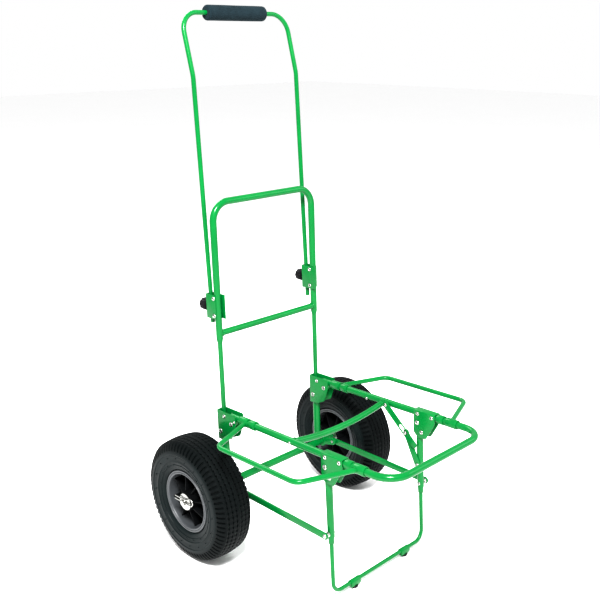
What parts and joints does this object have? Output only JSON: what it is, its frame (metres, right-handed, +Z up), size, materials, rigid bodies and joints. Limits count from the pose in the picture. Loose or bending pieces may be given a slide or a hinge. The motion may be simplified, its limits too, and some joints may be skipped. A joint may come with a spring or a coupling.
{
  "type": "folding garden cart",
  "caption": "Folding two-wheeled garden cart: tubular frame, sliding handle with foam grip, folding platform with hinged side wings, struts and a folding front stand on rubber feet.",
  "frame": {"origin": "bottom centre of the whole cart's box, on the floor", "axes": "+Z up, +Y towards the handle, +X towards the left side as seen by the person holding the handle; the platform points to -Y"},
  "size_m": [0.518, 0.5794, 1.0916],
  "materials": {
    "green_paint": "glossy powder coat",
    "tyre": "matt moulded rubber",
    "rim_plastic": "satin",
    "black_plastic": "satin",
    "black_rubber": "matt",
    "foam": "matt foam",
    "zinc": "bright zinc plate"
  },
  "bodies": {
    "frame": {"back_frame": "green_paint", "rear_bracket_right": "green_paint", "lower_leg_right": "green_paint", "strut_lug_right": "green_paint", "outer_washer_right": "zinc", "inner_washer_right": "zinc", "hairpin_right": "zinc", "handle_clamp_right": "green_paint", "platform_pin_right": "zinc", "strut_rear_pin_right": "zinc", "rear_bracket_left": "green_paint", "lower_leg_left": "green_paint", "strut_lug_left": "green_paint", "outer_washer_left": "zinc", "inner_washer_left": "zinc", "hairpin_left": "zinc", "handle_clamp_left": "green_paint", "platform_pin_left": "zinc", "strut_rear_pin_left": "zinc", "axle_tube": "green_paint", "axle_rod": "zinc"},
    "handle": {"handle_tube": "green_paint", "foam_grip": "foam"},
    "platform": {"platform_frame": "green_paint", "cross_bow": "green_paint", "front_bracket_right": "green_paint", "wing_collar_rear_right": "green_paint", "wing_collar_front_right": "green_paint", "stand_pin_right": "zinc", "front_bracket_left": "green_paint", "wing_collar_rear_left": "green_paint", "wing_collar_front_left": "green_paint", "stand_pin_left": "zinc", "brace_top_pin": "zinc"},
    "stand": {"stand_leg_right": "green_paint", "stand_leg_left": "green_paint", "stand_loop": "green_paint", "foot_clip_right": "green_paint", "rubber_foot_right": "black_rubber", "strut_front_pin_right": "zinc", "foot_clip_left": "green_paint", "rubber_foot_left": "black_rubber", "strut_front_pin_left": "zinc", "brace_foot_pin": "zinc"},
    "brace_upper": {"brace_upper_link": "green_paint"},
    "brace_lower": {"brace_lower_link": "green_paint", "brace_middle_pin": "zinc"},
    "wheel_right": {"tyre_right": "tyre", "wheel_rim_right": "rim_plastic", "hub_bush_right": "zinc"},
    "knob_right": {"clamp_knob_right": "black_plastic"},
    "strut_right": {"strut_right": "green_paint"},
    "wing_right": {"wing_right": "green_paint"},
    "wheel_left": {"tyre_left": "tyre", "wheel_rim_left": "rim_plastic", "hub_bush_left": "zinc"},
    "knob_left": {"clamp_knob_left": "black_plastic"},
    "strut_left": {"strut_left": "green_paint"},
    "wing_left": {"wing_left": "green_paint"}
  },
  "joints": [
    {"name": "wheel_right_spin", "type": "hinge", "parent": "frame", "child": "wheel_right", "pos_m": [-0.215, 0.15982, 0.13], "axis": [1, 0, 0], "continuous": true},
    {"name": "wheel_left_spin", "type": "hinge", "parent": "frame", "child": "wheel_left", "pos_m": [0.215, 0.15982, 0.13], "axis": [1, 0, 0], "continuous": true},
    {"name": "handle_slide", "type": "slide", "parent": "frame", "child": "handle", "axis": [0, -0.0767, -0.9971], "range_m": [0, 0.17]},
    {"name": "clamp_knob_right_turn", "type": "hinge", "parent": "frame", "child": "knob_right", "pos_m": [-0.135, 0.21662, 0.51389], "axis": [0, 0.999, -0.0436], "range_deg": [0, 180]},
    {"name": "clamp_knob_left_turn", "type": "hinge", "parent": "frame", "child": "knob_left", "pos_m": [0.135, 0.21703, 0.52338], "axis": [0, 0.999, -0.0436], "range_deg": [0, 180]},
    {"name": "platform_fold", "type": "hinge", "parent": "frame", "child": "platform", "pos_m": [0, 0.13417, 0.27626], "axis": [-1, 0, 0], "range_deg": [0, 84]},
    {"name": "stand_fold", "type": "hinge", "parent": "platform", "child": "stand", "pos_m": [0, -0.12992, 0.27978], "axis": [-1, 0, 0], "range_deg": [-84, 0]},
    {"name": "strut_right_fold", "type": "hinge", "parent": "frame", "child": "strut_right", "pos_m": [-0.151, 0.12462, 0.13959], "axis": [-1, 0, 0], "range_deg": [0, 84]},
    {"name": "strut_left_fold", "type": "hinge", "parent": "frame", "child": "strut_left", "pos_m": [0.151, 0.12462, 0.13959], "axis": [-1, 0, 0], "range_deg": [0, 84]},
    {"name": "wing_right_fold", "type": "hinge", "parent": "platform", "child": "wing_right", "pos_m": [-0.135, -0.03319, 0.29458], "axis": [0, 0.999, -0.0436], "range_deg": [0, 178]},
    {"name": "wing_left_fold", "type": "hinge", "parent": "platform", "child": "wing_left", "pos_m": [0.135, -0.03319, 0.29458], "axis": [0, -0.999, 0.0436], "range_deg": [0, 178]},
    {"name": "brace_upper_fold", "type": "hinge", "parent": "platform", "child": "brace_upper", "pos_m": [0.1225, -0.04919, 0.29477], "axis": [-1, 0, 0], "range_deg": [0, 30]},
    {"name": "brace_lower_fold", "type": "hinge", "parent": "stand", "child": "brace_lower", "pos_m": [0.1258, -0.13645, 0.18658], "axis": [-1, 0, 0], "range_deg": [-18, 0]}
  ],
  "couplings": [
    {"joint": "stand_fold", "follows": "platform_fold", "ratio": -1},
    {"joint": "strut_right_fold", "follows": "platform_fold", "ratio": 1},
    {"joint": "strut_left_fold", "follows": "platform_fold", "ratio": 1},
    {"joint": "brace_upper_fold", "follows": "platform_fold", "ratio": 0.346},
    {"joint": "brace_lower_fold", "follows": "platform_fold", "ratio": -0.21}
  ]
}
